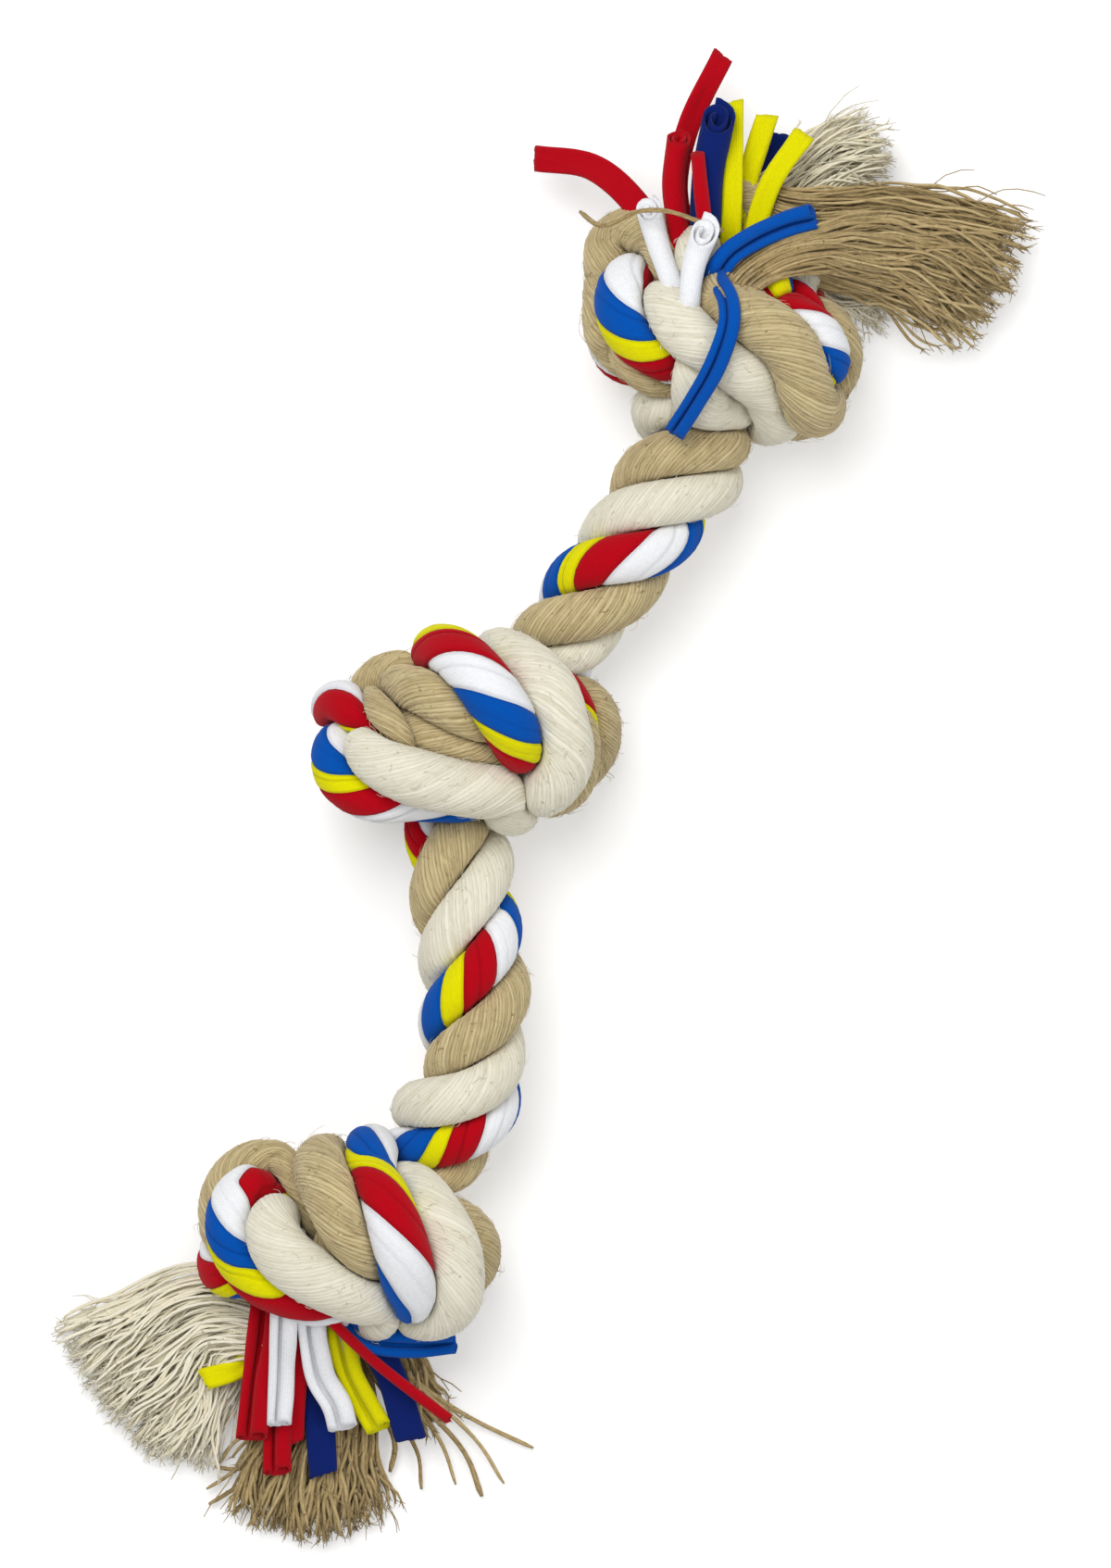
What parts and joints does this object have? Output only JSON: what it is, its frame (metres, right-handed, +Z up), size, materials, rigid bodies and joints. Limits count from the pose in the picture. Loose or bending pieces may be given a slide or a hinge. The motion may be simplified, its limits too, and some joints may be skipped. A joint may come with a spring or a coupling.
{
  "type": "rope dog toy",
  "caption": "Knotted tug toy for dogs: thick rope of jute, cotton and cloth strands, tied in overhand knots, with a frayed tassel at each end.",
  "frame": {"origin": "on the floor under the middle knot, on the flat of the cloth strand that the toy rests on", "axes": "+Y along the toy towards its upper tassel, +Z up from the floor, +X to the right seen from above"},
  "size_m": [0.3677, 0.538, 0.0894],
  "materials": {
    "jute": "coarse twisted yarn",
    "cotton": "soft twisted yarn",
    "cloth": "twisted jersey strips in red, white, blue and yellow",
    "red": "jersey",
    "white": "jersey",
    "blue": "jersey",
    "yellow": "jersey"
  },
  "bodies": {
    "middle": {"cloth_strand_lower_bend": "cloth", "cloth_strand_middle": "cloth", "cloth_strand_upper_bend": "cloth", "cotton_strand_lower_bend": "cotton", "cotton_strand_middle": "cotton", "cotton_strand_upper_bend": "cotton", "jute_strand_lower_bend": "jute", "jute_strand_middle": "jute", "jute_strand_upper_bend": "jute"},
    "upper_end": {"cloth_strand_upper": "cloth", "cotton_strand_upper": "cotton", "jute_strand_upper": "jute", "upper_blue_hanging_strip": "blue", "upper_blue_right_strip": "blue", "upper_cotton_tail": "cotton", "upper_jute_tail": "jute", "upper_navy_rear_strip": "blue", "upper_navy_rolled_strip": "blue", "upper_red_left_strip": "red", "upper_red_long_strip": "red", "upper_red_narrow_strip": "red", "upper_red_rolled_strip": "red", "upper_white_curl_strip": "white", "upper_white_rolled_strip": "white", "upper_yellow_left_strip": "yellow", "upper_yellow_middle_strip": "yellow", "upper_yellow_right_strip": "yellow"},
    "lower_end": {"cloth_strand_lower": "cloth", "cotton_strand_lower": "cotton", "jute_strand_lower": "jute", "lower_blue_middle_strip": "blue", "lower_blue_right_strip": "blue", "lower_cotton_tail": "cotton", "lower_jute_tail": "jute", "lower_navy_strip": "blue", "lower_red_middle_strip": "red", "lower_red_narrow_strip": "red", "lower_red_rear_strip": "red", "lower_red_wide_strip": "red", "lower_white_left_strip": "white", "lower_white_right_strip": "white", "lower_yellow_right_strip": "yellow", "lower_yellow_tab_strip": "yellow"}
  },
  "joints": [
    {"name": "upper_bend", "type": "hinge", "parent": "middle", "child": "upper_end", "pos_m": [0.063, 0.073, 0.042], "axis": [0, 0, 1], "range_deg": [-35, 35], "deforming": ["jute_strand_upper_bend", "cloth_strand_upper_bend", "cotton_strand_upper_bend"]},
    {"name": "lower_bend", "type": "hinge", "parent": "middle", "child": "lower_end", "pos_m": [0.0055, -0.097, 0.042], "axis": [0, 0, 1], "range_deg": [-35, 35], "deforming": ["jute_strand_lower_bend", "cloth_strand_lower_bend", "cotton_strand_lower_bend"]}
  ]
}
